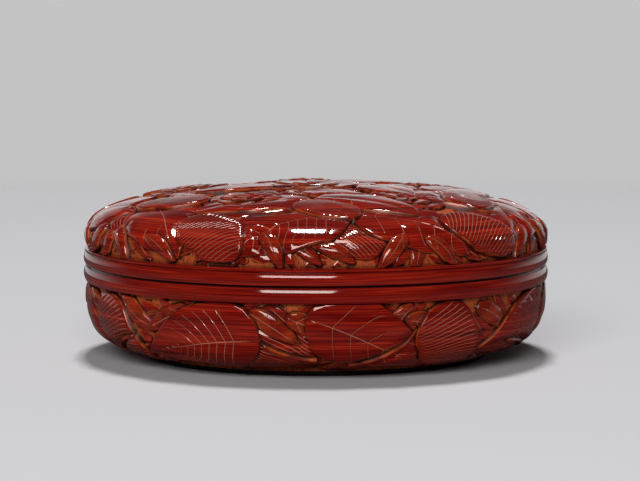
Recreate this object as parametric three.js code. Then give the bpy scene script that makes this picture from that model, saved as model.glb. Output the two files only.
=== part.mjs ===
// A carved lacquer round box: a domed lid that lifts off a shallow base.
// Each half is a wooden core of a turned board and stacked bentwood hoops, under a thick
// coat of layered lacquer on the outside and a thin black lining on the inside.
// A collar hoop fixed in the base's mouth guides the lid, and the base stands on a foot hoop.
// Millimetres, +Z up, origin on the floor under the middle of the box.
import * as THREE from "three";

// Driving dimensions
const BOX_RADIUS = 120;
const SEAM_GAP = 0.3;
const GLUE_LINE = 0.3;

// Rim mouldings: one plain bead each side of the seam
const LID_BEAD_HEIGHT = 6.8;
const LID_LEDGE_HEIGHT = 1.6;
const BASE_BEAD_HEIGHT = 7.6;
const BEAD_EDGE = 0.8;
const BEAD_GROOVE = 1.2;
const GROOVE_WIDTH = 0.5;

// The lid's dome, which springs from an upright wall above the mouldings
const LID_WALL_ABOVE_LEDGE = 4.1;
const LID_DOME_RISE = 28.5;
const LID_BOARD_RADIUS = 84;
const LID_BOARD_THICKNESS = 5;
const LID_HOOP_WALL = 3.3;
const LID_HOOPS = 3;

// The base's bowl, which springs from an upright wall below the bead
const BASE_INSET = 0.5;
const BASE_WALL_BELOW_BEAD = 1.2;
const BOWL_DROP = 38.4;
const BASE_BOARD_RADIUS = 88;
const BASE_BOARD_THICKNESS = 4;
const BASE_HOOPS = 3;

// Lacquer
const COAT = 4;
const CARVED_DEPTH = 2.6;
const FIELD_MARGIN = 1.5;
const MOUTH_TURN = 1.2;
const LINING = 0.8;
const UNDERSIDE_COAT = 0.8;

// Collar and foot
const COLLAR_CLEARANCE = 0.4;
const COLLAR_WALL = 3;
const COLLAR_BELOW_DOME = 6;
const COLLAR_LEAD_IN = 1;
const FOOT_HEIGHT = 6.6;
const FOOT_WALL = 7.5;
const FOOT_EDGE = 0.6;

// Fineness of the facets
const AROUND = 48;
const OUTER_STEPS = 12;
const INNER_STEPS = 8;
const FIELD_AROUND = 96;
const FIELD_STEPS = 24;
const SAMPLE_REACH = 2.5;
const SAME_POINT = 1e-6;
const SINGLE_PRECISION = 1e-3;

const coatColour = { color: 0x7a1712, roughness: 0.22, metalness: 0 };
const liningColour = { color: 0x0d0b0b, roughness: 0.2, metalness: 0 };
const woodColour = { color: 0xb48a5a, roughness: 0.65, metalness: 0 };

// The main forms of the lid's carving, on the dome unrolled flat about its pole: rings of leaves
// round the pole, which take their turns, edge levels and sizes in order, and blossoms
const LEAF_CROWN = 0.6;
const LEAF_RINGS = [
  {
    count: 10,
    inFromLedge: 27,
    start: 0.1,
    turns: [1, -0.9],
    levels: [-1.5, -0.7, -1.1],
    leaves: [{ length: 66, width: 44, tip: 0.85 }],
  },
  {
    count: 10,
    inFromLedge: 18,
    start: 0.42,
    turns: [1.1, -1],
    levels: [-0.5, -1.9],
    leaves: [
      { length: 46, width: 30, tip: 0.6 },
      { length: 38, width: 31, tip: 0.6 },
    ],
  },
  {
    count: 8,
    inFromLedge: 60,
    start: 0.3,
    turns: [0.8, -0.85],
    levels: [-0.5, -1.6, -1],
    leaves: [{ length: 58, width: 34, tip: 0.85 }],
  },
  {
    count: 8,
    inFromLedge: 89,
    start: 0.2,
    turns: [0.5, -0.5],
    levels: [-1.2, -0.6, -1.6],
    leaves: [{ length: 44, width: 26, tip: 0.85 }],
  },
  {
    count: 6,
    inFromLedge: 50,
    start: 0.6,
    turns: [0.8, -0.9],
    levels: [-0.3],
    leaves: [{ length: 40, width: 26, tip: 0.6 }],
  },
];
const MIDDLE_BLOSSOM = { radius: 32, level: -0.9, top: 0 };
const BLOSSOMS = { count: 5, fromPole: 66, start: 0.4, radius: 22, level: -0.9, top: -0.2 };

const box = new THREE.Group();

// A wall of revolution as a run of [radius, height] points, with heights measured from the seam:
// upright to the springing height, then a superellipse that closes over the axis. Curves that
// share their steps and powers nest inside each other with an even gap.
class Curve {
  constructor({ radius, wall, rise, powerR, powerZ, steps }) {
    Object.assign(this, { radius, wall, rise, powerR, powerZ, steps });
    this.points = [
      [radius, 0],
      [radius, wall],
    ];
    for (let i = 1; i < steps; i++) {
      const turn = (Math.PI / 2) * (i / steps);
      const r = radius * Math.cos(turn) ** (2 / powerR);
      const h = wall + rise * Math.sin(turn) ** (2 / powerZ);
      this.points.push([r, h]);
    }
    this.points.push([0, wall + rise]);
  }

  // The same curve, taken in by one distance at the wall and another at the crown
  inside(atWall, atCrown) {
    return new Curve({ ...this, radius: this.radius - atWall, rise: this.rise - atCrown });
  }

  radiusAt(height) {
    const next = this.points.findIndex(([, h]) => h > height);
    const [r0, h0] = this.points[next - 1];
    const [r1, h1] = this.points[next];
    return r0 + ((r1 - r0) * (height - h0)) / (h1 - h0);
  }

  heightAt(radius) {
    const next = this.points.findIndex(([r]) => r < radius);
    const [r0, h0] = this.points[next - 1];
    const [r1, h1] = this.points[next];
    return h0 + ((h1 - h0) * (radius - r0)) / (r1 - r0);
  }

  // The run between two heights, both ends included
  climb(from, to) {
    const within = this.points.filter(([, h]) => h > from && h < to);
    return [[this.radiusAt(from), from], ...within, [this.radiusAt(to), to]];
  }

  // The run from a radius in to the axis
  crown(radius) {
    return [[radius, this.heightAt(radius)], ...this.points.filter(([r]) => r < radius)];
  }

  // The curved run, from the springing to the axis
  dome() {
    return this.points.slice(1);
  }
}

// The lid's skins, from the outside in
const lidLedgeTop = LID_BEAD_HEIGHT + LID_LEDGE_HEIGHT;
const lidOuter = new Curve({
  radius: BOX_RADIUS,
  wall: lidLedgeTop + GROOVE_WIDTH + LID_WALL_ABOVE_LEDGE,
  rise: LID_DOME_RISE,
  powerR: 2.3,
  powerZ: 2.8,
  steps: OUTER_STEPS,
});
const lidUnderCoat = new Curve({ ...lidOuter, steps: INNER_STEPS }).inside(COAT, COAT);
const lidCoreOuter = lidUnderCoat.inside(GLUE_LINE, GLUE_LINE);
const lidCoreInner = lidCoreOuter.inside(LID_HOOP_WALL, LID_BOARD_THICKNESS);
const lidLiningOuter = lidCoreInner.inside(GLUE_LINE, GLUE_LINE);
const lidLiningInner = lidLiningOuter.inside(LINING, LINING);

// The collar passes up inside the lid's lining with a running clearance
const collarOuterRadius = lidLiningInner.radius - COLLAR_CLEARANCE;
const collarInnerRadius = collarOuterRadius - COLLAR_WALL;
const collarTop = lidOuter.wall - COLLAR_BELOW_DOME;

// The base's skins, from the outside in
const baseBeadFoot = BASE_BEAD_HEIGHT + GROOVE_WIDTH;
const baseOuter = new Curve({
  radius: BOX_RADIUS - BASE_INSET,
  wall: baseBeadFoot + BASE_WALL_BELOW_BEAD,
  rise: BOWL_DROP,
  powerR: 4.8,
  powerZ: 3.5,
  steps: OUTER_STEPS,
});
const baseUnderCoat = new Curve({ ...baseOuter, steps: INNER_STEPS }).inside(COAT, COAT);
const baseCoreOuter = baseUnderCoat.inside(GLUE_LINE, GLUE_LINE);

// The bottom board is flat underneath, where the foot hoop and the underside coat meet it
const boardUnderside = baseCoreOuter.heightAt(BASE_BOARD_RADIUS);
const underGlue = boardUnderside + GLUE_LINE;
const footOuterRadius = BASE_BOARD_RADIUS;
const footInnerRadius = footOuterRadius - FOOT_WALL;
const seamHeight = underGlue + FOOT_HEIGHT;

// Inside, the collar sets the core's bore, and the board's thickness at its middle sets the floor
const baseHoopWall = baseCoreOuter.radius - (collarOuterRadius + GLUE_LINE);
const floorHeight = boardUnderside - BASE_BOARD_THICKNESS;
const floorRise = floorHeight - baseCoreOuter.wall;
const baseCoreInner = baseCoreOuter.inside(baseHoopWall, baseCoreOuter.rise - floorRise);
const baseLiningOuter = baseCoreInner.inside(GLUE_LINE, GLUE_LINE);
const baseLiningInner = baseLiningOuter.inside(LINING, LINING);

// Heights in the box's own frame, from heights measured up or down from the seam
const upFromSeam = (height) => seamHeight + height;
const downFromSeam = (height) => seamHeight - height;

// Turns a closed outline of [radius, z] points into a solid, whichever way round it is drawn.
// Where two runs of an outline meet, their shared corner counts once.
function turned(drawn, around = AROUND) {
  const apart = ([r0, z0], [r1, z1]) => Math.hypot(r0 - r1, z0 - z1) > SAME_POINT;
  const outline = drawn.filter((point, i) => apart(point, drawn[(i + 1) % drawn.length]));
  const count = outline.length;
  const area = outline.reduce((sum, [r, z], i) => {
    const [nextR, nextZ] = outline[(i + 1) % count];
    return sum + r * nextZ - nextR * z;
  }, 0);
  const ordered = area > 0 ? outline : outline.reverse();
  const onAxis = (i) => ordered[(i + count) % count][0] === 0;
  const start = Math.max(0, ordered.findIndex((point, i) => onAxis(i) && onAxis(i - 1)));
  const profile = [...ordered.slice(start), ...ordered.slice(0, start)];
  if (!onAxis(start)) profile.push(profile[0]);
  const points = profile.map(([r, z]) => new THREE.Vector2(r, z));
  return new THREE.LatheGeometry(points, around).rotateX(Math.PI / 2);
}

function add(name, outline, look, toZ) {
  addSolid(name, turned(outline.map(([r, h]) => [r, toZ(h)])), look);
}

function addSolid(name, geometry, look) {
  const mesh = new THREE.Mesh(geometry, new THREE.MeshStandardMaterial(look));
  mesh.name = name;
  box.add(mesh);
}

// The carver's hand isn't quite even: from -1 to 1, in the n-th respect of the k-th form
const uneven = (k, n) => Math.sin(12.9898 * (k + 1) + 4.1414 * n);

// Every leaf of the rings, placed on the flat layout
function placedLeaves(ledgeArc) {
  return LEAF_RINGS.flatMap(({ count, inFromLedge, start, turns, levels, leaves }) =>
    Array.from({ length: count }, (_, k) => {
      const bearing = start + (2 * Math.PI * (k + 0.12 * uneven(k, 1))) / count;
      const out = ledgeArc - inFromLedge + 1.5 * uneven(k, 5);
      const heading = bearing + turns[k % turns.length] + 0.12 * uneven(k, 2);
      return {
        ...leaves[k % leaves.length],
        x: out * Math.cos(bearing),
        y: out * Math.sin(bearing),
        heading,
        bend: 0.35 * (0.95 + 0.25 * uneven(k, 3)) * (k % 2 ? 1 : -1),
        level: levels[k % levels.length],
      };
    }),
  );
}

// How high a leaf stands over the polished skin at a place, if the place is on it. The midrib
// bends in an arc, and the sides close in to a rounded stem and a more pointed tip.
function leafLift(leaf, x, y) {
  const { length, width, tip, bend, level, heading } = leaf;
  const stem = 0.5;
  const ahead = (x - leaf.x) * Math.cos(heading) + (y - leaf.y) * Math.sin(heading);
  const aside = (y - leaf.y) * Math.cos(heading) - (x - leaf.x) * Math.sin(heading);
  const swing = length / Math.abs(bend);
  const side = Math.sign(bend) * aside;
  const share = Math.atan2(ahead, swing - side) / Math.abs(bend) + 0.5;
  if (share <= 0 || share >= 1) return -Infinity;
  const offset = swing - Math.hypot(ahead, swing - side);
  const peak = stem / (stem + tip);
  const swell = share ** stem * (1 - share) ** tip / (peak ** stem * (1 - peak) ** tip);
  const span = Math.abs(offset) / ((width / 2) * swell);
  if (span >= 1) return -Infinity;
  return level + LEAF_CROWN * (1 - span ** 2) * Math.sin(Math.PI * share) ** 0.6;
}

function blossomLift({ x, y, radius, level, top }, atX, atY) {
  const share = Math.hypot(atX - x, atY - y) / radius;
  return share >= 1 ? -Infinity : top + (level - top) * share;
}

// The carved relief at a place of the flat layout: the highest form there, or the cut ground,
// evened out over a short reach so that few faces carry it
function relief(leaves, blossoms, x, y) {
  const reach = [-SAMPLE_REACH, 0, SAMPLE_REACH];
  const places = reach.flatMap((dx) => reach.map((dy) => [x + dx, y + dy]));
  const lifts = places.map(([px, py]) =>
    Math.max(
      -CARVED_DEPTH,
      ...leaves.map((leaf) => leafLift(leaf, px, py)),
      ...blossoms.map((blossom) => blossomLift(blossom, px, py)),
    ),
  );
  return lifts.reduce((sum, lift) => sum + lift, 0) / lifts.length;
}

// Sinks the field of a turned coat to its carved relief. Each point of the field moves along the
// skin's normal, found from its neighbours on the meridian.
function carveField(geometry, meridian) {
  const arcs = [0];
  for (let i = 1; i < meridian.length; i++) {
    const [r0, z0] = meridian[i - 1];
    const [r1, z1] = meridian[i];
    arcs.push(arcs[i - 1] + Math.hypot(r1 - r0, z1 - z0));
  }
  const last = meridian.length - 1;
  const leaves = placedLeaves(arcs[last] + FIELD_MARGIN);
  const blossoms = [{ x: 0, y: 0, ...MIDDLE_BLOSSOM }];
  for (let k = 0; k < BLOSSOMS.count; k++) {
    const bearing = BLOSSOMS.start + (2 * Math.PI * k) / BLOSSOMS.count;
    const x = BLOSSOMS.fromPole * Math.cos(bearing);
    const y = BLOSSOMS.fromPole * Math.sin(bearing);
    blossoms.push({ ...BLOSSOMS, x, y });
  }
  const position = geometry.getAttribute("position");
  for (let v = 0; v < position.count; v++) {
    const radius = Math.hypot(position.getX(v), position.getY(v));
    const near = ([r, z]) => Math.hypot(r - radius, z - position.getZ(v)) < SINGLE_PRECISION;
    const i = meridian.findIndex(near);
    if (i < 1) continue;
    const [r0, z0] = meridian[i - 1];
    const [r1, z1] = meridian[Math.min(i + 1, last)];
    const run = Math.hypot(r1 - r0, z1 - z0);
    const step = Math.round((Math.atan2(position.getY(v), position.getX(v)) * FIELD_AROUND) / (2 * Math.PI));
    const angle = (2 * Math.PI * ((step + FIELD_AROUND) % FIELD_AROUND)) / FIELD_AROUND;
    const lift = relief(leaves, blossoms, arcs[i] * Math.cos(angle), arcs[i] * Math.sin(angle));
    const moved = radius + (lift * (z0 - z1)) / run;
    position.setXYZ(
      v,
      (position.getX(v) * moved) / radius,
      (position.getY(v) * moved) / radius,
      position.getZ(v) + (lift * (r1 - r0)) / run,
    );
  }
  geometry.computeVertexNormals();
}

// The lid's lacquer coat: the plain bead above the seam, its ledge, and the carved dome.
// At the mouth it turns in under the core's edge, as far as the lining.
function lidCoat() {
  const ledgeRadius = BOX_RADIUS - BEAD_EDGE;
  const turnTop = SEAM_GAP + MOUTH_TURN;
  const fieldFoot = lidLedgeTop + GROOVE_WIDTH + FIELD_MARGIN;
  const field = [[BOX_RADIUS, fieldFoot], ...new Curve({ ...lidOuter, steps: FIELD_STEPS }).dome()];
  const outline = [
    [lidUnderCoat.radius, turnTop],
    [lidCoreInner.radius, turnTop],
    [lidCoreInner.radius, SEAM_GAP],
    [BOX_RADIUS - BEAD_EDGE, SEAM_GAP],
    [BOX_RADIUS, SEAM_GAP + BEAD_EDGE],
    [BOX_RADIUS, LID_BEAD_HEIGHT - BEAD_EDGE],
    [BOX_RADIUS - BEAD_GROOVE, LID_BEAD_HEIGHT],
    [ledgeRadius, LID_BEAD_HEIGHT + GROOVE_WIDTH],
    [ledgeRadius, lidLedgeTop],
    [ledgeRadius - BEAD_GROOVE, lidLedgeTop + GROOVE_WIDTH],
    ...field,
    ...lidUnderCoat.dome().reverse(),
  ].map(([r, h]) => [r, upFromSeam(h)]);
  const geometry = turned(outline, FIELD_AROUND);
  carveField(geometry, field.map(([r, h]) => [r, upFromSeam(h)]).reverse());
  addSolid("lid_carved_coat", geometry, coatColour);
}

// The base's lacquer coat: the plain bead under the seam, a groove, and the bellied field,
// which curves in under the box as far as the foot hoop. At the mouth it turns in over the
// core's edge, as far as the collar.
function baseCoat() {
  const edge = footOuterRadius + GLUE_LINE;
  const grooveRadius = BOX_RADIUS - BEAD_GROOVE;
  const field = baseOuter.climb(baseOuter.wall, baseOuter.heightAt(edge));
  const back = baseUnderCoat.climb(baseOuter.wall, baseUnderCoat.heightAt(edge));
  const outline = [
    [baseUnderCoat.radius, MOUTH_TURN],
    [baseCoreInner.radius, MOUTH_TURN],
    [baseCoreInner.radius, 0],
    [BOX_RADIUS - BEAD_EDGE, 0],
    [BOX_RADIUS, BEAD_EDGE],
    [BOX_RADIUS, BASE_BEAD_HEIGHT - BEAD_EDGE],
    [grooveRadius, BASE_BEAD_HEIGHT],
    [grooveRadius, baseBeadFoot],
    ...field,
    ...back.reverse(),
  ];
  add("base_carved_coat", outline, coatColour, downFromSeam);
}

// The stacked hoops of one half's core, from its mouth to the edge of the board that they hold.
// Each hoop's bore follows the inner curve, and stands upright where it passes the board.
function hoops(prefix, count, outer, inner, boardRadius, start, toZ) {
  const clear = boardRadius + GLUE_LINE;
  const boardHeight = inner.heightAt(clear);
  const pitch = (outer.heightAt(clear) + GLUE_LINE - start) / count;
  for (let i = 0; i < count; i++) {
    const from = start + i * pitch;
    const to = from + pitch - GLUE_LINE;
    const under = from < boardHeight ? inner.climb(from, Math.min(to, boardHeight)) : [[clear, from]];
    const bore = to > boardHeight ? [...under, [clear, to]] : under;
    add(`${prefix}_${i + 1}`, [...outer.climb(from, to), ...bore.reverse()], woodColour, toZ);
  }
}

function lidCore() {
  const top = lidCoreOuter.crown(LID_BOARD_RADIUS);
  const under = lidCoreInner.crown(LID_BOARD_RADIUS);
  add("lid_top_board", [...top, ...under.reverse()], woodColour, upFromSeam);
  const start = SEAM_GAP + MOUTH_TURN + GLUE_LINE;
  hoops("lid_hoop", LID_HOOPS, lidCoreOuter, lidCoreInner, LID_BOARD_RADIUS, start, upFromSeam);
}

function baseCore() {
  const dish = baseCoreInner.crown(BASE_BOARD_RADIUS);
  const outline = [...dish, [0, boardUnderside], [BASE_BOARD_RADIUS, boardUnderside]];
  add("base_bottom_board", outline, woodColour, downFromSeam);
  const start = MOUTH_TURN + GLUE_LINE;
  hoops("base_hoop", BASE_HOOPS, baseCoreOuter, baseCoreInner, BASE_BOARD_RADIUS, start, downFromSeam);
}

function lidLining() {
  const outline = [
    [lidLiningOuter.radius, SEAM_GAP],
    ...lidLiningOuter.dome(),
    ...lidLiningInner.dome().reverse(),
    [lidLiningInner.radius, SEAM_GAP],
  ];
  add("lid_lining", outline, liningColour, upFromSeam);
}

// The base's lining starts under the collar
function baseLining() {
  const top = baseOuter.wall + GLUE_LINE;
  const outside = [[baseLiningOuter.radiusAt(top), top], ...baseLiningOuter.dome().slice(1)];
  const inside = [[baseLiningInner.radiusAt(top), top], ...baseLiningInner.dome().slice(1)];
  add("base_lining", [...outside, ...inside.reverse()], liningColour, downFromSeam);
}

// The collar reaches from the foot of the base's upright wall to a little below the lid's dome
function collar() {
  const outline = [
    [collarInnerRadius, -baseOuter.wall],
    [collarOuterRadius, -baseOuter.wall],
    [collarOuterRadius, collarTop - COLLAR_LEAD_IN],
    [collarOuterRadius - COLLAR_LEAD_IN, collarTop],
    [collarInnerRadius, collarTop],
  ];
  add("collar_hoop", outline, liningColour, upFromSeam);
}

function foot() {
  const floor = seamHeight;
  const outline = [
    [footInnerRadius + FOOT_EDGE, floor],
    [footOuterRadius - FOOT_EDGE, floor],
    [footOuterRadius, floor - FOOT_EDGE],
    [footOuterRadius, underGlue],
    [footInnerRadius, underGlue],
    [footInnerRadius, floor - FOOT_EDGE],
  ];
  add("foot_hoop", outline, liningColour, downFromSeam);
}

function undersideCoat() {
  const radius = footInnerRadius - GLUE_LINE;
  const outline = [
    [0, underGlue + UNDERSIDE_COAT],
    [radius, underGlue + UNDERSIDE_COAT],
    [radius, underGlue],
    [0, underGlue],
  ];
  add("underside_coat", outline, liningColour, downFromSeam);
}

lidCoat();
lidCore();
lidLining();
baseCoat();
baseCore();
baseLining();
collar();
foot();
undersideCoat();

export default box;
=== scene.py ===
"""A round box of carved layered lacquer, dressed around its turned frame.

Every length is in metres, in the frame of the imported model: +Z up, origin on the floor
under the middle of the box. The carving is laid out on the unrolled skins of lid and base.
"""

import math

import bmesh
import bpy
import numpy as np
from bpy.props import FloatProperty, FloatVectorProperty, IntProperty, PointerProperty
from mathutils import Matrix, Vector, noise


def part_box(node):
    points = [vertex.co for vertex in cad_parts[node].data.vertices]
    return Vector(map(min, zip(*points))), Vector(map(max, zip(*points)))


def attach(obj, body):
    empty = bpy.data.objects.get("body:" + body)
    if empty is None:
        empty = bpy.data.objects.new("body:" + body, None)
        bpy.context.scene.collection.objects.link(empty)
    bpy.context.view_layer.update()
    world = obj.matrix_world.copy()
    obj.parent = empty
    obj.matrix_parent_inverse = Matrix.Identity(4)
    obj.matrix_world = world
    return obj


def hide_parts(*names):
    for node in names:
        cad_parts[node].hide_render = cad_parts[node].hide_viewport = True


bl_info = {
    "name": "Carved lacquer round box",
    "version": (1, 0, 0),
    "blender": (4, 5, 0),
    "location": "View3D > Sidebar > Lacquer Box",
    "description": "Builds the carved lacquer skins of a round lidded box around its frame",
    "category": "Add Mesh",
}

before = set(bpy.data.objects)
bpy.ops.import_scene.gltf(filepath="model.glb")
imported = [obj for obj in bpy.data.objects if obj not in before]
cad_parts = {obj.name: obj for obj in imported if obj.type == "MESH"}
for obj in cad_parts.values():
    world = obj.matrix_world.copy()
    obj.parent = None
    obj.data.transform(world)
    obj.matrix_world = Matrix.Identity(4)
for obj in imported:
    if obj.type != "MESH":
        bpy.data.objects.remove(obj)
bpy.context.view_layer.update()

MM = 0.001

# Places taken from the frame
LID_LOW, LID_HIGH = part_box("lid_carved_coat")
BASE_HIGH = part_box("base_carved_coat")[1]
COLLAR_LOW, COLLAR_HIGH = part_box("collar_hoop")
FOOT_LOW, FOOT_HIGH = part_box("foot_hoop")
LID_LINING_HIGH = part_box("lid_lining")[1]
BASE_LINING_LOW, BASE_LINING_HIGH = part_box("base_lining")
UNDERSIDE_LOW, UNDERSIDE_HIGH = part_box("underside_coat")
BOX_RADIUS = LID_HIGH.x
SEAM_Z = BASE_HIGH.z
SEAM_GAP = LID_LOW.z - BASE_HIGH.z

# The turned skins, as the frame has them
COAT = 4 * MM
LID_BEAD = 6.8 * MM
LID_LEDGE = 1.6 * MM
BASE_BEAD = 7.6 * MM
GROOVE_WIDTH = 0.5 * MM
GROOVE_DEPTH = 1.2 * MM
BEAD_DEPTH = 1.0 * MM
BEAD_POWER = 2.2
BASE_BORDER = 2.5 * MM
SEAM_EASE = 0.4 * MM
SEAM_DEPTH = 2.6 * MM
LID_WALL = 4.1 * MM
BASE_INSET = 0.5 * MM
BASE_WALL = 1.2 * MM
LID_POWERS = (2.3, 2.8)
BASE_POWERS = (4.8, 3.5)
LINING = 0.8 * MM
COLLAR_WALL = 3 * MM
FOOT_WALL = 7.5 * MM
HOOP_EASE = 0.8 * MM
GLUE_GAP = 0.3 * MM
LID_MOUTH_GAP = 1.9 * MM

# Fineness of the meshes
AROUND = 360
PLAIN_AROUND = 180
CURVE_STEPS = 600
LINING_STEPS = 49
BEAD_STEPS = 17
BACK_STEPS = 60
FIELD_STEP = 1.2 * MM
SHARP_ANGLE = math.radians(38)


def linear(code):
    """An sRGB hex colour as linear red, green, blue."""
    parts = [int(code[i : i + 2], 16) / 255 for i in (0, 2, 4)]
    return tuple(p / 12.92 if p <= 0.04045 else ((p + 0.055) / 1.055) ** 2.4 for p in parts)


def rgba(colour):
    return (*colour, 1.0)


def smooth(edge0, edge1, x):
    """0 before edge0, 1 after edge1, and an even turn between them."""
    t = np.clip((x - edge0) / (edge1 - edge0), 0, 1)
    return t * t * (3 - 2 * t)


def length_prop(name, text, millimetres):
    return FloatProperty(name=name, description=text, default=millimetres * MM, unit="LENGTH", min=0)


def colour_prop(name, text, code):
    return FloatVectorProperty(
        name=name, description=text, default=linear(code), subtype="COLOR", size=3, min=0, max=1
    )


class CarvingSizes(bpy.types.PropertyGroup):
    """Depths and widths of the carver's cuts."""

    ground_depth: length_prop("Ground depth", "From the polished skin down to the cut ground", 3.4)
    gouge: length_prop("Gouge", "Unevenness that the gouge leaves on the ground", 0.4)
    groove_width: length_prop("Vein width", "Width of an incised vein", 0.45)
    groove_depth: length_prop("Vein depth", "Depth of an incised vein", 0.4)
    comb_pitch: length_prop("Comb pitch", "Distance between the lines of a ribbed leaf", 2.3)
    edge_round: length_prop("Edge rounding", "Width of the polished round at a leaf's edge", 1.3)
    edge_drop: length_prop("Edge drop", "How far that round falls at the edge", 0.55)
    crown: length_prop("Leaf crown", "Height of a leaf's middle over its edges", 0.6)
    seed: IntProperty(name="Seed", description="Seed of the carver's uneven hand", default=7)


class LacquerColours(bpy.types.PropertyGroup):
    """Colours of the lacquers and the wood."""

    red_dark: colour_prop("Dark red", "Thin dark layers in the polished red", "4A0402")
    red_mid: colour_prop("Red", "The polished cinnabar red", "700D05")
    red_light: colour_prop("Light red", "Thin bright layers in the polished red", "A42814")
    cut: colour_prop("Fresh cut", "Tan lacquer bared in a vein", "B88064")
    wall: colour_prop("Cut wall", "Orange-brown lacquer bared in a leaf's edge", "A8481C")
    ground: colour_prop("Ground", "Ochre layer at the bottom of the carving", "8A3E18")
    wall_dark: colour_prop("Dark cut wall", "Brown patches in the same edges", "5E1E0E")
    # Painted shade: the dark brown that the cut walls turn to near their feet and that occlusion lays in
    # the crevices; the low parts of the gouge strokes take it too
    shade_in_cuts: colour_prop("Recess", "Dark brown in the deepest cuts", "1E0806")
    sheen: colour_prop("Sheen", "Tint of what the thin clear lacquer mirrors", "FFE8E2")
    black: colour_prop("Black lacquer", "Lining, collar and foot", "100C0C")
    black_worn: colour_prop("Worn black", "Brush marks in the black lacquer", "1E1614")
    wood: colour_prop("Wood", "Core of boards and hoops", "B48A5A")
    wood_dark: colour_prop("Wood grain", "Darker grain of the same wood", "8E6638")


class StageSettings(bpy.types.PropertyGroup):
    """Floor, lamps and camera."""

    floor: colour_prop("Floor", "Pale floor", "BCBBBD")
    backdrop: colour_prop("Backdrop", "Grey behind the floor", "C4C4C5")
    elevation: FloatProperty(
        name="Camera elevation",
        description="Angle of the camera above the horizon",
        default=math.radians(5.9),
        subtype="ANGLE",
    )
    distance: length_prop("Camera distance", "From the seam on the axis to the camera", 1500)
    lens: FloatProperty(
        name="Lens", description="Focal length in millimetres on a 36 mm sensor", default=162.6
    )


def superellipse(radius, wall, rise, powers, steps):
    """A skin's meridian from the pole to its springing: radii, and heights over the seam."""
    turn = np.linspace(0, math.pi / 2, steps)
    power_r, power_z = powers
    r = radius * np.sin(turn) ** (2 / power_r)
    h = wall + rise * np.cos(turn) ** (2 / power_z)
    return r, h


class TurnedSkin:
    """A smooth skin of revolution, known by its arc from the pole: radius, height over the seam
    and outward normal. The carving is laid on it by arc and by angle round the axis."""

    def __init__(self, radius, wall, rise, powers, edge, up):
        r, h = superellipse(radius, wall, rise, powers, CURVE_STEPS)
        r, h = np.append(r, radius), np.append(h, edge)
        arc = np.concatenate([[0], np.cumsum(np.hypot(np.diff(r), np.diff(h)))])
        along_r = np.gradient(r, arc)
        along_h = np.gradient(h, arc)
        self.radius, self.up, self.seam = radius, up, SEAM_Z
        self.r, self.h, self.arc = r, h, arc
        self.normal_r, self.normal_h = -along_h, along_r
        self.edge_arc = arc[-1]

    def at(self, arc, lift):
        """Radius and height over the seam of points that stand over the skin by their lift."""
        r = np.interp(arc, self.arc, self.r) + lift * np.interp(arc, self.arc, self.normal_r)
        h = np.interp(arc, self.arc, self.h) + lift * np.interp(arc, self.arc, self.normal_h)
        return r, h

    def place(self, arc, angle, lift):
        r, h = self.at(arc, lift)
        return np.stack([r * np.cos(angle), r * np.sin(angle), self.seam + self.up * h], axis=-1)

    def arc_at_radius(self, radius):
        return float(np.interp(radius, self.r, self.arc))


LID_EDGE = LID_BEAD + LID_LEDGE + GROOVE_WIDTH
LID_SPRING = LID_EDGE + LID_WALL
LID_SKIN = TurnedSkin(
    BOX_RADIUS, LID_SPRING, LID_HIGH.z - SEAM_Z - LID_SPRING, LID_POWERS, LID_EDGE, 1
)
BASE_EDGE = BASE_BEAD + GROOVE_WIDTH
BASE_SPRING = BASE_EDGE + BASE_WALL
BOWL_DROP = 38.4 * MM
BASE_SKIN = TurnedSkin(
    BOX_RADIUS - BASE_INSET, BASE_SPRING, BOWL_DROP, BASE_POWERS, BASE_EDGE, -1
)

FIELD_MARGIN = 0.4 * MM
FOOT_EDGE = BASE_SKIN.arc_at_radius(FOOT_HIGH.x + GLUE_GAP)
BASE_CARVED = BASE_SKIN.edge_arc - FOOT_EDGE - BASE_BORDER


class Dome:
    """The lid's field laid flat about its pole."""

    skin = LID_SKIN

    def fold(self, x, y, lift):
        arc = np.minimum(np.hypot(x, y), self.skin.edge_arc - FIELD_MARGIN)
        return self.skin.place(arc, np.arctan2(y, x), lift)

    def spot(self, angle, out):
        """A place and its outward and roundward directions on the flat layout."""
        outward = np.array([math.cos(angle), math.sin(angle)])
        return outward * out, outward, np.array([-outward[1], outward[0]])

    def nearer(self, gap):
        """The shift that brings a form closest to another one: none, as the layout is whole."""
        return np.zeros(2)


class Band:
    """The base's field laid flat as a strip, measured down from the bead."""

    skin = BASE_SKIN

    def fold(self, x, y, lift):
        y = np.clip(y, FIELD_MARGIN, BASE_CARVED)
        return self.skin.place(self.skin.edge_arc - y, x / self.skin.radius, lift)

    def spot(self, angle, out):
        place = np.array([angle * self.skin.radius, out])
        return place, np.array([0.0, 1.0]), np.array([1.0, 0.0])

    def nearer(self, gap):
        """The shift by whole turns that brings a form closest to another one."""
        turn = 2 * math.pi * self.skin.radius
        return np.array([-turn * round(gap[0] / turn), 0.0])


# Carving


def stations(lines, half_cut, between):
    """Places across a leaf from 0 to 1, as rows of (place, cut, swell). Each incised line takes
    three places, its two lips and its bottom, and the places between two lines carry the swell."""
    rows = []
    starts = [0.0] + [p + half_cut for p in lines]
    ends = [p - half_cut for p in lines] + [1.0]
    for start, end in zip(starts, ends):
        if rows:
            rows.append((start - half_cut, 1.0, 0.0))
        for k in range(between + 2):
            share = k / (between + 1)
            rows.append((start + (end - start) * share, 0.0, math.sin(math.pi * share)))
    return np.array(rows)


# The polished round at a leaf's edge: shares of its width and of its drop, from the edge in
ROUND_WIDTHS = (0.0, 0.15, 0.4, 0.7)
ROUND_DROPS = (1.0, 0.47, 0.2, 0.05)
# How much of the orange-brown shows where the polish has rubbed a leaf's edge, as a wall share
EDGE_BARED = 0.12
# How a lower leaf dives under a higher one: how steeply, from how far, and how softly it turns
DIVE_SLOPE = 0.5
DIVE_REACH = 9 * MM
DIVE_EASE = 0.2 * MM
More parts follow.
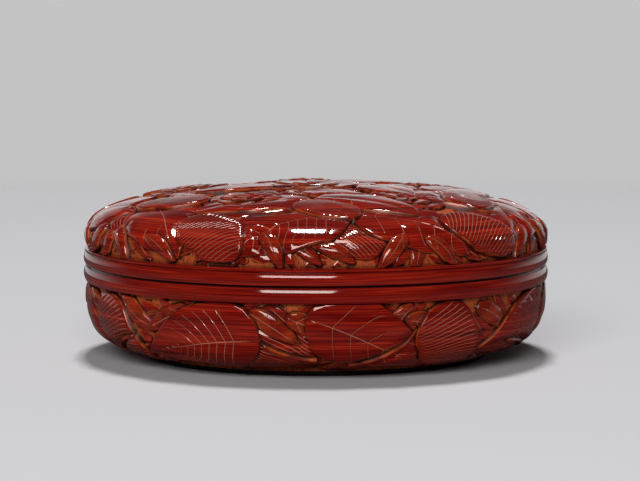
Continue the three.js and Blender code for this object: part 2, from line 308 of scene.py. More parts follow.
# How far a hand strays from the even layout: shares of the pitch and of the bend, an angle in
# radians, and lengths
PITCH_SLIP = 0.12
BEND_SLIP = 0.25
TURN_SLIP = 0.12
OUT_SLIP = 1.5 * MM
LEVEL_SLIP = 0.08 * MM
# The foot of a cut wall lies nearly through the coat, and a form dives a little under the ground
WALL_FOOT = 0.97 * COAT
UNDER_GROUND = 0.2 * MM
# The polished round takes at most these shares of a form's half width: as drawn, and near its ends
ROUND_SHARE = 0.3
END_ROUND_SHARE = 0.6
# What a form is like unless its kind says otherwise. Shares run from stem to tip, or from the
# midrib to the margin.
COMMON = {
    "veins": (),  # incised lines across it, as shares of its length
    "lines": (),  # incised lines along it, as shares of its width
    "rows_between": 2,  # mesh rows between two such veins
    "columns_between": 2,  # mesh columns between two such lines
    "vein_end": (0.78, 0.95),  # where a vein runs out towards the margin
    "line_end": (0.86, 0.97),  # where a line runs out towards the tip
    "outline": (0.5, 0.85),  # roundness of the stem end and of the tip: more is more pointed
    "scallop": 0.055,  # waviness of the margin
    "lobes": 12,  # how fast the margin waves
    "bend": 0.35,  # turn of the midrib from stem to tip, in radians
    "sweep": 0.0,  # how far the veins sweep towards the tip
    "skew": 0.0,  # how far the veins slant across
    "plain": False,  # without the polished round at its edge
    "flare": 1.4 * MM,  # how far the cut wall leans out at its foot
    "bared": 0.0,  # orange-brown rubbed bare all over it, as a wall share
    "rise_out": 0.01,  # slope away from the pole or the bead
    "rise_round": 0.012,  # slope round the box
    "cup": 0.0,  # how far the tip stands over the stem
    "fold": 0.35 * MM,  # depth of the fold along the midrib
    "rib": 0.25 * MM,  # height of the swell between two lines
    "ripple": 0.08 * MM,  # unevenness of the surface
    "ceiling": 0.25 * MM,  # how far it may stand over the skin
    "step": 1.5 * MM,  # how far its edge stands over what lies under it
}
FOLD_WIDTH = 3 * MM
LEAST_HALF_WIDTH = 0.5 * MM


def rimmed(inner, edge_round, flare, plain):
    """Adds the cut wall and the polished round at both ends of a run of stations. Returns place,
    inset from the outline, end (-1, 0 or 1), cut, swell, fall of the round, and foot of the wall."""
    rim = [(-flare, 1.0, 1.0), (0.0, 1.0, 0.0)]
    if not plain:
        rim += [(share * edge_round, drop, 0.0) for share, drop in zip(ROUND_WIDTHS, ROUND_DROPS)][1:]
    rows = [(0.0, inset, -1, 0.0, 0.0, drop, foot) for inset, drop, foot in rim]
    rows += [(place, edge_round, 0, cut, swell, 0.0, 0.0) for place, cut, swell in inner]
    rows += [(1.0, inset, 1, 0.0, 0.0, drop, foot) for inset, drop, foot in rim[::-1]]
    return np.array(rows)


def away_from(points, rim):
    """How far points lie outside a closed outline, 0 inside it, and the nearest rim place."""
    edge = np.roll(rim, -1, axis=0) - rim
    reach = points[:, None] - rim
    share = np.clip((reach * edge).sum(-1) / np.maximum((edge**2).sum(-1), 1e-12), 0, 1)
    gaps = np.linalg.norm(reach - share[..., None] * edge, axis=-1)
    rise = np.where(edge[:, 1] == 0, 1e-12, edge[:, 1])
    beside = (reach[..., 1] >= 0) != (reach[..., 1] >= edge[:, 1])
    crossed = beside & (reach[..., 0] < edge[:, 0] * reach[..., 1] / rise)
    inside = crossed.sum(axis=1) % 2 == 1
    nearest = gaps.argmin(axis=1)
    return np.where(inside, 0.0, gaps.min(axis=1)), nearest


def soft_min(a, b):
    """The lesser of two lifts, with an even turn where they meet."""
    return -DIVE_EASE * np.logaddexp(-a / DIVE_EASE, -b / DIVE_EASE)


def spread(shape, rows, columns, edge_round, phase):
    """A form's grid before it is bent: distance along the midrib and across it, each as a
    length and as a share."""
    row_place, row_inset, row_end, *_ = rows
    col_place, col_inset, col_end, *_ = columns
    length, half = shape["length"], shape["width"] / 2

    # Along the midrib: swept towards the tip at the sides or skewed, as the veins run
    across = np.where(col_end == 0, 2 * col_place - 1, np.sign(col_end))
    inner = edge_round + row_place * (length - 2 * edge_round)
    along = np.where(row_end < 0, row_inset, np.where(row_end > 0, length - row_inset, inner))
    share = along / length
    middle = 4 * np.clip(share * (1 - share), 0, 1)
    along = along + length * shape["sweep"] * middle * np.abs(across) ** 1.3
    along = along + half * shape["skew"] * middle * across
    share = np.clip(along / length, 0.0, 1.0)

    # Across it: a rounded stem end, a more or less pointed tip, and a slightly wavy margin
    stem, tip = shape["outline"]
    peak = stem / (stem + tip)
    swell = share**stem * (1 - share) ** tip / (peak**stem * (1 - peak) ** tip)
    wave = 1 + shape["scallop"] * np.sin(shape["lobes"] * share + phase[0] * across)
    width = LEAST_HALF_WIDTH + (half - LEAST_HALF_WIDTH) * swell * wave
    squeeze = np.minimum(1.0, END_ROUND_SHARE * width / edge_round)
    edge_offset = np.sign(across) * (width - col_inset * np.where(col_inset < 0, 1, squeeze))
    offset = np.where(col_end == 0, across * (width - edge_round * squeeze), edge_offset)
    return along, share, offset, np.clip(offset / width, -1, 1)


def turned(outward, roundward, turn):
    """The two directions of a place, turned by an angle on the layout."""
    forward = math.cos(turn) * outward + math.sin(turn) * roundward
    return forward, -math.sin(turn) * outward + math.cos(turn) * roundward


def laid(shape, spot, turn, along, offset):
    """The form's grid bent along its midrib and laid on the layout, and how far its points
    lie outwards and roundwards of its place."""
    length, bend = shape["length"], shape["bend"]
    arc = (along - length / 2) * bend / length
    ahead = length / bend * np.sin(arc) - offset * np.sin(arc)
    aside = length / bend * (1 - np.cos(arc)) + offset * np.cos(arc)
    place, outward, roundward = spot
    forward, lateral = turned(outward, roundward, turn)
    reach = ahead[..., None] * forward + aside[..., None] * lateral
    return place + reach, reach @ outward, reach @ roundward


def raised(shape, rows, columns, share, offset, span, phase):
    """The form's lift over the skin, level at its place, and the share of incised cut."""
    _, _, _, row_cut, row_swell, _, _ = rows
    _, _, _, col_cut, col_swell, _, _ = columns
    vein_fade = 1 - smooth(*shape["vein_end"], np.abs(span))
    line_fade = smooth(0.02, 0.12, share) * (1 - smooth(*shape["line_end"], share))
    cut = np.maximum(row_cut * vein_fade, col_cut * line_fade)
    body = (1 - span**2) * np.sin(math.pi * np.clip(share, 0.02, 0.98)) ** 0.6
    lift = shape["level"] + shape["crown"] * body + shape["cup"] * (share - 0.5)
    lift = lift - shape["fold"] * np.exp(-((offset / FOLD_WIDTH) ** 2))
    # Two slow waves that slant opposite ways, about one and two along the form
    uneven_side = np.sin(6.5 * share + phase[1] + 2.2 * span) * np.abs(span)
    uneven_body = np.sin(11 * share + phase[2] - 3.1 * span)
    lift = lift + shape["ripple"] * (uneven_side + 0.6 * uneven_body)
    swell = row_swell * (1 - smooth(0.8, 1.0, np.abs(span)))
    if len(shape["lines"]) > 1:
        swell = swell + col_swell * line_fade
    return lift + shape["rib"] * swell - shape["groove"] * cut, cut


class Form:
    """One carved leaf or petal: a grid laid on the flat layout, with its lifts over the skin."""

    def __init__(self, name, shape, flat, lift, cut, wall):
        self.name, self.level, self.step = name, shape["level"], shape["step"]
        self.flat, self.lift, self.cut, self.wall = flat, lift, cut, wall
        self.centre = flat.mean(axis=(0, 1))
        self.reach = np.linalg.norm(flat - self.centre, axis=-1).max()

    def around(self, values):
        """The values at every second place along the outline, at the top of the wall."""
        top = values[1:-1, 1:-1]
        sides = (top[0, :-1], top[:-1, -1], top[-1, :0:-1], top[:0:-1, 0])
        return np.concatenate(sides)[::2]


class Carving:
    """The forms cut into one skin. They are laid down first; then each one dives under those
    that stand higher, and then they become pieces."""

    def __init__(self, layout, sizes, seed):
        self.layout, self.sizes = layout, sizes
        self.common = {
            "midrib": sizes.groove_width,
            "groove": sizes.groove_depth,
            "crown": sizes.crown,
            "drop": sizes.edge_drop,
        }
        self.rng = np.random.default_rng(seed)
        self.name = ""
        self.forms = []

    def frond(self, spot, turn, shape):
        """Lays one leaf or petal: a grid whose rows follow its side veins and whose columns run
        from stem to tip, bent and crowned, with walls down to the ground."""
        shape = {**self.common, **shape}
        length, half = shape["length"], shape["width"] / 2
        edge_round = min(self.sizes.edge_round, ROUND_SHARE * half)
        flare, plain = shape["flare"], shape["plain"]
        half_cut = self.sizes.groove_width / (2 * length)
        half_rib = shape["midrib"] / (4 * half)
        veins = stations(shape["veins"], half_cut, shape["rows_between"])
        lines = stations(shape["lines"], half_rib, shape["columns_between"])
        rows = rimmed(veins, edge_round, flare, plain).T[:, :, None]
        columns = rimmed(lines, edge_round, flare, plain).T[:, None, :]
        phase = self.rng.uniform(0, 2 * math.pi, 4)
        along, share, offset, span = spread(shape, rows, columns, edge_round, phase)
        flat, outward_reach, roundward_reach = laid(shape, spot, turn, along, offset)
        slope = outward_reach * shape["rise_out"] + roundward_reach * shape["rise_round"]
        lift, cut = raised(shape, rows, columns, share, offset, span, phase)
        fall, foot = np.maximum(rows[5], columns[5]), np.maximum(rows[6], columns[6])
        lift = np.minimum(lift + slope, shape["ceiling"]) - fall * shape["drop"]
        wall = np.maximum(foot, np.where(fall == 1, EDGE_BARED, shape["bared"]))
        self.forms.append(Form(self.name, shape, flat, lift, cut + 0 * lift, wall))

    def ring(self, count, out, start, turns, levels, shapes):
        """Lays forms round the axis, their edges at levels that differ from one to the next.
        Distances are in millimetres."""
        for k in range(count):
            angle = start + 2 * math.pi * (k + PITCH_SLIP * uneven(k, 1)) / count
            turn = turns[k % len(turns)] + TURN_SLIP * uneven(k, 2)
            shape = dict(shapes[k % len(shapes)])
            side = 1 if k % 2 else -1
            shape["bend"] *= (0.95 + BEND_SLIP * uneven(k, 3)) * side
            shape["level"] = levels[k % len(levels)] * MM + LEVEL_SLIP * uneven(k, 4)
            spot = self.layout.spot(angle, out * MM + OUT_SLIP * uneven(k, 5))
            self.frond(spot, turn, shape)

    def blossom(self, angle, out, radius, level):
        """A full-blown flower: three whorls of fan-lined petals round a button of beads."""
        centre, outward, roundward = self.layout.spot(angle, out * MM)

        def ray(heading, reach):
            forward, lateral = turned(outward, roundward, heading)
            return centre + forward * radius * reach * MM, forward, lateral

        # Petals; how far out, how long and how wide, as shares of the radius; lift; lines
        whorls = [
            (7, 0.64, 0.78, 0.82, -0.9, 2),
            (6, 0.40, 0.56, 0.60, -0.2, 0),
            (4, 0.18, 0.36, 0.46, 0.4, 0),
        ]
        for count, reach, long, wide, higher, lines in whorls:
            start = self.rng.uniform(0, 2 * math.pi)
            shape = petal(radius * long, radius * wide, lines, level=(level + higher) * MM)
            for k in range(count):
                heading = start + 2 * math.pi * (k + self.rng.uniform(-0.08, 0.08)) / count
                self.frond(ray(heading, reach), 0.0, shape)
        bead = button(0.14 * radius, level=(level + 0.4) * MM)
        for k in range(6):
            self.frond(ray(2 * math.pi * k / 6, 0.12), 0.0, bead)
        self.frond(ray(0.0, 0.0), 0.0, bead)

    def dive(self):
        """Lowers each form where a higher one lies over it or close by, as a carver does, so
        that the edge of the higher one stands free."""
        lowest = -self.sizes.ground_depth - UNDER_GROUND
        done = []
        for form in sorted(self.forms, key=lambda laid_form: -laid_form.level):
            points, lift = form.flat.reshape(-1, 2), form.lift.ravel()
            for over in done:
                shift = self.layout.nearer(over.centre - form.centre)
                centre, reach = over.centre + shift, over.reach + DIVE_REACH
                if np.linalg.norm(centre - form.centre) > form.reach + reach:
                    continue
                near = np.linalg.norm(points - centre, axis=1) < reach
                if not near.any():
                    continue
                away, nearest = away_from(points[near], over.around(over.flat) + shift)
                limit = over.around(over.lift)[nearest] - over.step + DIVE_SLOPE * away
                lift[near] = soft_min(lift[near], limit)
            lift = np.maximum(lift, lowest).reshape(form.lift.shape)
            form.lift = np.where(form.wall == 1, -WALL_FOOT, lift)
            done.append(form)

    def piece(self, name):
        """Makes an object of the forms laid under a name. The grids are laid down first, their
        vertices are moved to their places all at once, and each form is closed underneath."""
        forms = [form for form in self.forms if form.name == name]
        bm = bmesh.new()
        for form in forms:
            rows, columns = form.lift.shape
            bmesh.ops.create_grid(bm, x_segments=columns - 1, y_segments=rows - 1, size=1.0)
        mesh = bpy.data.meshes.new(name)
        bm.to_mesh(mesh)
        bm.free()
        places = [
            self.layout.fold(form.flat[..., 0], form.flat[..., 1], form.lift).reshape(-1, 3)
            for form in forms
        ]
        mesh.vertices.foreach_set("co", np.concatenate(places).ravel())
        cuts = [form.cut.ravel() for form in forms]
        walls = [form.wall.ravel() for form in forms]
        for key, values in (("cut", cuts), ("wall", walls)):
            layer = mesh.attributes.new(key, "FLOAT", "POINT")
            layer.data.foreach_set("value", np.concatenate(values))
        bm = bmesh.new()
        bm.from_mesh(mesh)
        bpy.data.meshes.remove(mesh)
        rim = [edge for edge in bm.edges if edge.is_boundary]
        bmesh.ops.holes_fill(bm, edges=rim, sides=0)
        bmesh.ops.recalc_face_normals(bm, faces=bm.faces)
        return finished(name, bm)


def finished(name, bm):
    """Turns a bmesh into a smooth-shaded object at the origin."""
    for face in bm.faces:
        face.smooth = True
    mesh = bpy.data.meshes.new(name)
    bm.to_mesh(mesh)
    bm.free()
    mesh.set_sharp_from_angle(angle=SHARP_ANGLE)
    piece = bpy.data.objects.new(name, mesh)
    bpy.context.scene.collection.objects.link(piece)
    return piece


def shaped(length, width, kind, more):
    """A shape of a kind, with a length and a width in millimetres and what else it has."""
    return {**COMMON, "length": length * MM, "width": width * MM, **kind, **more}


def leaf(length, width, veins, **more):
    """A broad leaf: an incised midrib and a few swept side veins."""
    kind = {
        "veins": np.linspace(0.16, 0.78, veins),
        "lines": (0.5,),
        "sweep": 0.2,
        "columns_between": 9,
        "rows_between": 3,
        "vein_end": (0.7, 0.88),
        "midrib": 0.8 * MM,
        "rib": 0.0,
    }
    return shaped(length, width, kind, more)


def scrap(length, width, **more):
    """A bit of foliage deep between the leaves."""
    kind = {
        "outline": (0.6, 1.0),
        "columns_between": 1,
        "plain": True,
        "fold": 0.0,
        "rib": 0.0,
        "crown": 0.5 * MM,
        "drop": 0.5 * MM,
        "step": 0.6 * MM,
    }
    return shaped(length, width, kind, more)


def twig(length, width, **more):
    """A stem between the leaves: a long narrow ridge, its sides cut into the orange-brown."""
    kind = {
        "outline": (0.25, 0.8),
        "columns_between": 1,
        "rows_between": 14,
        "plain": True,
        "fold": 0.0,
        "rib": 0.0,
        "crown": 0.5 * MM,
        "drop": 0.5 * MM,
        "ripple": 0.0,
        "scallop": 0.0,
        "bend": 0.7,
        "flare": 1.0 * MM,
        "bared": 0.05,
    }
    return shaped(length, width, kind, more)


def ribbed(length, width, pitch, **more):
    """A ribbed leaf: close comb lines across it with a swell between each two."""
    count = max(2, round(length * MM / pitch) - 1)
    kind = {
        "veins": np.linspace(1 / (count + 1), count / (count + 1), count),
        "skew": 0.35,
        "bend": 0.25,
        "columns_between": 13,
        "outline": (0.5, 0.6),
        "fold": 0.0,
        "rib": 0.08 * MM,
        "groove": 0.25 * MM,
        "vein_end": (0.84, 0.97),
    }
    return shaped(length, width, kind, more)


def petal(length, width, lines, **more):
    """A petal: lines that fan out from its claw to its broad outer margin."""
    kind = {
        "lines": np.linspace(1 / (lines + 1), lines / (lines + 1), lines),
        "columns_between": 2 if lines else 5,
        "rows_between": 8,
        "plain": True,
        "outline": (0.75, 0.28),
        "fold": 0.0,
        "flare": 0.7 * MM,
        "rib": 0.0,
        "groove": 0.25 * MM,
        "bend": 0.08,
        "rise_out": 0.0,
        "rise_round": 0.035,
        "cup": 0.7 * MM,
        "crown": -0.3 * MM,
        "drop": 0.5 * MM,
        "step": 0.7 * MM,
    }
    return shaped(length, width, kind, more)


def button(width, **more):
    """A bead of a blossom's heart."""
    kind = {
        "outline": (0.5, 0.5),
        "crown": 0.5 * MM,
        "fold": 0.0,
        "columns_between": 3,
        "rows_between": 3,
        "plain": True,
        "bend": 0.05,
        "ripple": 0.0,
        "flare": 0.2 * MM,
        "drop": 0.7 * MM,
        "step": 0.3 * MM,
    }
    return shaped(width, width, kind, more)


def uneven(k, n):
    """The small unevenness of a hand, from -1 to 1, in the n-th respect of the k-th form."""
    return math.sin(12.9898 * (k + 1) + 4.1414 * n)


# Turned pieces


def spun(name, outline, steps, disturb=None):
    """Spins a closed outline of (radius, z) points round the axis. disturb(point) gives how far
    a point of the field moves along its normal."""
    bm = bmesh.new()
    field = bm.verts.layers.float.new("field")
    wall = bm.verts.layers.float.new("wall")
    bm.verts.layers.float.new("cut")
    verts = []
    for r, z, weight in outline:
        vert = bm.verts.new((r, 0, z))
        vert[field] = weight
        verts.append(vert)
    loop = list(zip(verts, verts[1:]))
    if outline[0][0] > 0 or outline[-1][0] > 0:
        loop.append((verts[-1], verts[0]))
    edges = [bm.edges.new(pair) for pair in loop]
    bmesh.ops.spin(
        bm,
        geom=verts + edges,
        cent=(0, 0, 0),
        axis=(0, 0, 1),
        angle=2 * math.pi,
        steps=steps,
        use_merge=True,
    )
    bmesh.ops.remove_doubles(bm, verts=bm.verts, dist=0.001 * MM)
    bmesh.ops.recalc_face_normals(bm, faces=bm.faces)
    if disturb:
        bm.normal_update()
        moves = [(v, disturb(v.co)) for v in bm.verts if v[field] > 0]
        for vert, move in moves:
            vert.co += vert.normal * move * vert[field]
            vert[wall] = move
    return finished(name, bm)


def flat_points(points, weight=0.0):
    return [(r, z, weight) for r, z in points]


def bead_points(radius, low, high, up):
    """The convex bead between two heights over the seam, eased where it meets the seam."""
    middle, half = (low + high) / 2, (high - low) / 2
    shares = np.sin(np.linspace(-math.pi / 2, math.pi / 2, BEAD_STEPS))
    curve = [
        (radius - BEAD_DEPTH * abs(s) ** BEAD_POWER, SEAM_Z + up * (middle + half * s), 0.0)
        for s in shares
    ]
    return [(radius - SEAM_DEPTH, curve[0][1], 0.0)] + curve


# The gouge's cuts: broad ones about 4 mm across, and fine ones of 2 mm with ridges between them
BROAD_CUTS = 240
FINE_CUTS = 520


def gouged(sizes):
    """The cut ground: overlapping gouge marks with fine ridges between them."""

    def disturb(point):
        broad = noise.noise(point * BROAD_CUTS)
        fine = noise.noise(point * FINE_CUTS)
        return sizes.gouge * (0.7 * broad + 2.2 * (0.25 - abs(fine)))

    return disturb


# How far a field stops short of its rim
RIM_GAP = 0.6 * MM
# The lid's ledge: how far inside the bead, the width of its top, and its softened corners
LEDGE_INSET = 0.45 * MM
LEDGE_TOP = 1.2 * MM
LEDGE_EASE = 0.3 * MM
GROOVE_EASE = 0.1 * MM
# The narrow border round the foot: its depth, and how much of the ground's cut it shares
BORDER_DEPTH = 0.2 * MM
BORDER_FIELD = 0.6


def field_points(skin, first, last, depth):
    """The sunk ground of a field between two arcs, with its cove at the rim."""
    steps = max(2, round(abs(last - first) / FIELD_STEP))
    arcs = np.linspace(first, last, steps + 1)
    r, h = skin.at(arcs, -depth)
    return [(a, SEAM_Z + skin.up * b, 1.0) for a, b in zip(r, h)]


def within(skin, distance, last_radius=0.0):
    """The hidden back of a skin, a wall's thickness inside it, from the rim inwards."""
    arcs = np.linspace(skin.edge_arc, skin.arc_at_radius(last_radius), BACK_STEPS)
    r, h = skin.at(arcs, -distance)
    return [(max(0.0, a), SEAM_Z + skin.up * b, 0.0) for a, b in zip(r, h)]


def lid_shell(sizes):
    skin = LID_SKIN
    depth = sizes.ground_depth
    field = field_points(skin, 0.0, skin.edge_arc - RIM_GAP, depth)
    field[0] = (0.0, field[0][1], 0.0)
    ledge_r = BOX_RADIUS - LEDGE_INSET
    rim = [
        (ledge_r - LEDGE_TOP, SEAM_Z + LID_EDGE + GROOVE_EASE, 0.0),
        (ledge_r - LEDGE_EASE, SEAM_Z + LID_EDGE, 0.0),
        (ledge_r, SEAM_Z + LID_EDGE - LEDGE_EASE, 0.0),
        (ledge_r, SEAM_Z + LID_BEAD + GROOVE_WIDTH + LEDGE_EASE, 0.0),
        (ledge_r - LEDGE_EASE, SEAM_Z + LID_BEAD + GROOVE_WIDTH, 0.0),
        (BOX_RADIUS - GROOVE_DEPTH, SEAM_Z + LID_BEAD + GROOVE_EASE, 0.0),
    ]
    bead = bead_points(BOX_RADIUS, SEAM_GAP + SEAM_EASE, LID_BEAD, 1)[::-1]
    mouth = flat_points(
        [
            (BOX_RADIUS - SEAM_DEPTH, SEAM_Z + SEAM_GAP),
            (COLLAR_HIGH.x + LID_MOUTH_GAP, SEAM_Z + SEAM_GAP),
        ]
    )
    back = within(skin, COAT)
    outline = field + rim + bead + mouth + back
    return spun("lid_carved_ground", outline, AROUND, gouged(sizes))


def base_shell(sizes):
    skin = BASE_SKIN
    depth = sizes.ground_depth
    border_edge = FOOT_EDGE + BASE_BORDER
    field = field_points(skin, skin.edge_arc - RIM_GAP, border_edge, depth)
    border = field_points(skin, border_edge, FOOT_EDGE, BORDER_DEPTH)
    field += [(a, z, BORDER_FIELD) for a, z, _ in border]
    bead = bead_points(BOX_RADIUS, SEAM_EASE, BASE_BEAD, -1)
    rim = [
        (BOX_RADIUS - GROOVE_DEPTH, SEAM_Z - BASE_BEAD - GROOVE_EASE, 0.0),
        (BOX_RADIUS - GROOVE_DEPTH, SEAM_Z - BASE_EDGE + GROOVE_EASE, 0.0),
    ]
    mouth = flat_points([(COLLAR_HIGH.x + GLUE_GAP, SEAM_Z), (BOX_RADIUS - SEAM_DEPTH, SEAM_Z)])
    back = within(skin, COAT, FOOT_HIGH.x + GLUE_GAP)[::-1]
    outline = mouth + bead + rim + field + back
    return spun("base_carved_ground", outline, AROUND, gouged(sizes))


# Materials


def node(tree, kind, inputs=(), **settings):
    """Adds a node, sets its settings, and fills its inputs with values or other nodes' outputs."""
    made = tree.nodes.new(kind)
    for key, value in settings.items():
        setattr(made, key, value)
    for key, value in dict(inputs).items():
        if isinstance(value, bpy.types.NodeSocket):
            tree.links.new(value, made.inputs[key])
        else:
            made.inputs[key].default_value = value
    return made


def new_material(name):
    material = bpy.data.materials.new(name)
    material.use_nodes = True
    tree = material.node_tree
    tree.nodes.clear()
    shader = node(tree, "ShaderNodeBsdfPrincipled")
    node(tree, "ShaderNodeOutputMaterial", {"Surface": shader.outputs["BSDF"]})
    return material, tree, shader


def mixed(tree, factor, a, b):
    """Colour a where the factor is 0 and b where it is 1."""
    mix = node(tree, "ShaderNodeMix", data_type="RGBA")
    for socket, value in ((mix.inputs[0], factor), (mix.inputs[6], a), (mix.inputs[7], b)):
        if isinstance(value, bpy.types.NodeSocket):
            tree.links.new(value, socket)
        else:
            socket.default_value = value
    return mix.outputs[2]


def sums(tree, operation, *values):
    """A number worked out from others by one operation."""
    return node(tree, "ShaderNodeMath", dict(enumerate(values)), operation=operation).outputs[0]


def eased(tree, value, first, last, low=0.0, high=1.0):
    """A number that turns evenly from low to high while a value goes from first to last."""
    span = {"Value": value, "From Min": first, "From Max": last, "To Min": low, "To Max": high}
    return node(tree, "ShaderNodeMapRange", span, interpolation_type="SMOOTHSTEP").outputs["Result"]


def place_on(tree):
    """A point's place in the box's own frame, in metres."""
    return node(tree, "ShaderNodeTexCoord").outputs["Object"]


def stretched(tree, place, sizes):
    """The same place measured in units of the given sizes."""
    scale = tuple(1 / size for size in sizes)
    return node(tree, "ShaderNodeMapping", {"Vector": place, "Scale": scale}).outputs[0]


def mottle(tree, place, scale, detail):
    """Soft noise. Its patches are about one part in scale of a unit across."""
    inputs = {"Vector": place, "Scale": scale, "Detail": detail}
    return node(tree, "ShaderNodeTexNoise", inputs).outputs["Fac"]


def carved_share(tree, name):
    """One of the shares that the carving left on the mesh: cut, wall or field."""
    return node(tree, "ShaderNodeAttribute", attribute_name=name).outputs["Fac"]


def dented(tree, shader, height, depth, strength):
    """Small dents in the surface, of a depth in metres."""
    inputs = {"Height": height, "Distance": depth, "Strength": strength}
    bump = node(tree, "ShaderNodeBump", inputs)
    tree.links.new(bump.outputs[0], shader.inputs["Normal"])


def ramp(tree, factor, stops):
    made = node(tree, "ShaderNodeValToRGB", {"Fac": factor})
    elements = made.color_ramp.elements
    while len(elements) < len(stops):
        elements.new(0.5)
    for element, (place, value) in zip(elements, stops):
        element.position = place
        element.color = rgba(value) if hasattr(value, "__len__") else (value, value, value, 1)
    return made.outputs["Color"]


# Polished cinnabar lacquer and rubbed black lacquer
RED_IOR = 1.58
BLACK_IOR = 1.52
# How much a step in radius counts as a step through the layers
LAYER_SPREAD = 0.22
# Length and thickness of the streaks in the polished red: fine ones over broad ones
FINE_STREAK = (48 * MM, 0.42 * MM)
BROAD_STREAK = (60 * MM, 4.5 * MM)
BEAD_STREAK = (60 * MM, 3.5 * MM)
# Width and height of the gouge's strokes on the cut ground
GOUGE_STROKE = (0.9 * MM, 1 / 330)
# Patches of dust and polish about 8 and 11 mm wide, and wood grain about 2 mm wide and 80 mm long
DUST_SCALE = 130.0
HAND_SCALE = 90.0
GRAIN = (1 / 12, 1 / 12, 2 * MM)


def layer_coordinate(tree, up):
    """A coordinate whose third part counts the lacquer layers: height on the walls and a share
    of the radius on the crown, so that the polished streaks run round the box and widen on top."""
    parts = node(tree, "ShaderNodeSeparateXYZ", {"Vector": place_on(tree)}).outputs
    flat = node(tree, "ShaderNodeCombineXYZ", {"X": parts["X"], "Y": parts["Y"]})
    radius = node(tree, "ShaderNodeVectorMath", {0: flat.outputs[0]}, operation="LENGTH")
    layer = sums(tree, "MULTIPLY_ADD", radius.outputs["Value"], -up * LAYER_SPREAD, parts["Z"])
    place = {"X": parts["X"], "Y": parts["Y"], "Z": layer}
    return node(tree, "ShaderNodeCombineXYZ", place).outputs[0]


def streaks(tree, coordinate, size, detail):
    """Noise drawn out along the layers: long across and thin through them."""
    length, thickness = size
    scaled = stretched(tree, coordinate, (length, length, thickness))
    inputs = {"Vector": scaled, "Scale": 1.0, "Detail": detail, "Roughness": 0.6}
    return node(tree, "ShaderNodeTexNoise", inputs).outputs["Fac"]


def rubbed_red(tree, up, broad_streak, places, colours):
    """The polished red: dark, middle and light layers rubbed through in long streaks, of which
    the fine ones count twice as much as the broad ones."""
    coordinate = layer_coordinate(tree, up)
    fine = streaks(tree, coordinate, FINE_STREAK, 3.0)
    broad = streaks(tree, coordinate, broad_streak, 2.0)
    both = sums(tree, "MULTIPLY_ADD", fine, 2.0, broad)
    share = sums(tree, "MULTIPLY", both, 1 / 3)
    tones = (colours.red_dark, colours.red_mid, colours.red_light)
    return ramp(tree, share, list(zip(places, tones)))


def polish(tree, shader, bare, rough, dull, colours):
    """The gloss of the polished skin, in the lacquer's own tint. Where the cuts lie bare it goes
    dull: bare and rough say from which to which share, and how rough before and after."""
    share, (first, last) = bare
    smooth_to_rough = ramp(tree, share, [(first, rough[0]), (last, rough[1])])
    tree.links.new(smooth_to_rough, shader.inputs["Roughness"])
    mirror = ramp(tree, share, [(dull, 0.5), (last, 0.2)])
    tree.links.new(mirror, shader.inputs["Specular IOR Level"])
    shader.inputs["IOR"].default_value = RED_IOR
    shader.inputs["Specular Tint"].default_value = rgba(colours.sheen)


def painted_crevice_shade(tree):
    """Painted shade: 1 in the open, falling to 0 deep in the cuts and beside raised edges, as ambient
    occlusion finds them.
    """
    hollow = node(tree, "ShaderNodeAmbientOcclusion", {"Distance": 2.6 * MM}, samples=8)
    return ramp(tree, hollow.outputs["AO"], [(0.34, 0.0), (0.82, 1.0)])


def carved_lacquer(name, up, colours):
    """Layered cinnabar lacquer, polished after carving: a deep red gloss with long fine streaks
    where the thin layers are rubbed through, tan in the veins and orange-brown in the walls, with painted
    shade at the walls' feet and in the crevices."""
    material, tree, shader = new_material(name)
    place = place_on(tree)
    cut, wall = carved_share(tree, "cut"), carved_share(tree, "wall")
    red = rubbed_red(tree, up, BROAD_STREAK, (0.37, 0.51, 0.64), colours)
    # The cuts darken and lighten as old polish and dust lie in them; towards the foot of a wall they go
    # dark brown as painted shade
    dust = mottle(tree, place, DUST_SCALE, 1.0)
    tint = ramp(tree, dust, [(0.4, colours.wall_dark), (0.58, colours.wall)])
    depth = ramp(tree, wall, [(0.16, 0.0), (0.6, 1.0)])
    side = mixed(tree, depth, tint, rgba(colours.shade_in_cuts))
    bare = ramp(tree, wall, [(0.03, 0.0), (0.12, 1.0)])
    colour = mixed(tree, bare, red, side)
    # Painted shade: towards the dark brown where occlusion finds a crevice or a step
    colour = mixed(tree, painted_crevice_shade(tree), rgba(colours.shade_in_cuts), colour)
    vein = ramp(tree, cut, [(0.15, 0.0), (0.75, 0.75)])
    colour = mixed(tree, vein, colour, rgba(colours.cut))
    tree.links.new(colour, shader.inputs["Base Color"])
    polish(tree, shader, (wall, (0.04, 0.2)), (0.085, 0.4), 0.06, colours)
    dented(tree, shader, mottle(tree, place, HAND_SCALE, 0.0), 0.2 * MM, 0.5)
    return material


def turned_lacquer(name, up, colours):
    """The same lacquer on the turned beads, and its ochre layer on the gouged ground."""
    material, tree, shader = new_material(name)
    field = carved_share(tree, "field")
    red = rubbed_red(tree, up, BEAD_STREAK, (0.34, 0.5, 0.68), colours)
    width, height = GOUGE_STROKE
    strokes = mottle(tree, stretched(tree, place_on(tree), (width, width, height)), 1.0, 3.0)
    stops = [(0.27, colours.shade_in_cuts), (0.48, colours.wall), (0.7, colours.ground)]
    bare = ramp(tree, field, [(0.1, 0.0), (0.5, 1.0)])
    colour = mixed(tree, bare, red, ramp(tree, strokes, stops))
    # Painted shade: towards the dark brown where occlusion finds a crevice
    colour = mixed(tree, painted_crevice_shade(tree), rgba(colours.shade_in_cuts), colour)
    tree.links.new(colour, shader.inputs["Base Color"])
    polish(tree, shader, (field, (0.1, 0.5)), (0.08, 0.5), 0.1, colours)
    dented(tree, shader, strokes, 0.5 * MM, bare)
    return material


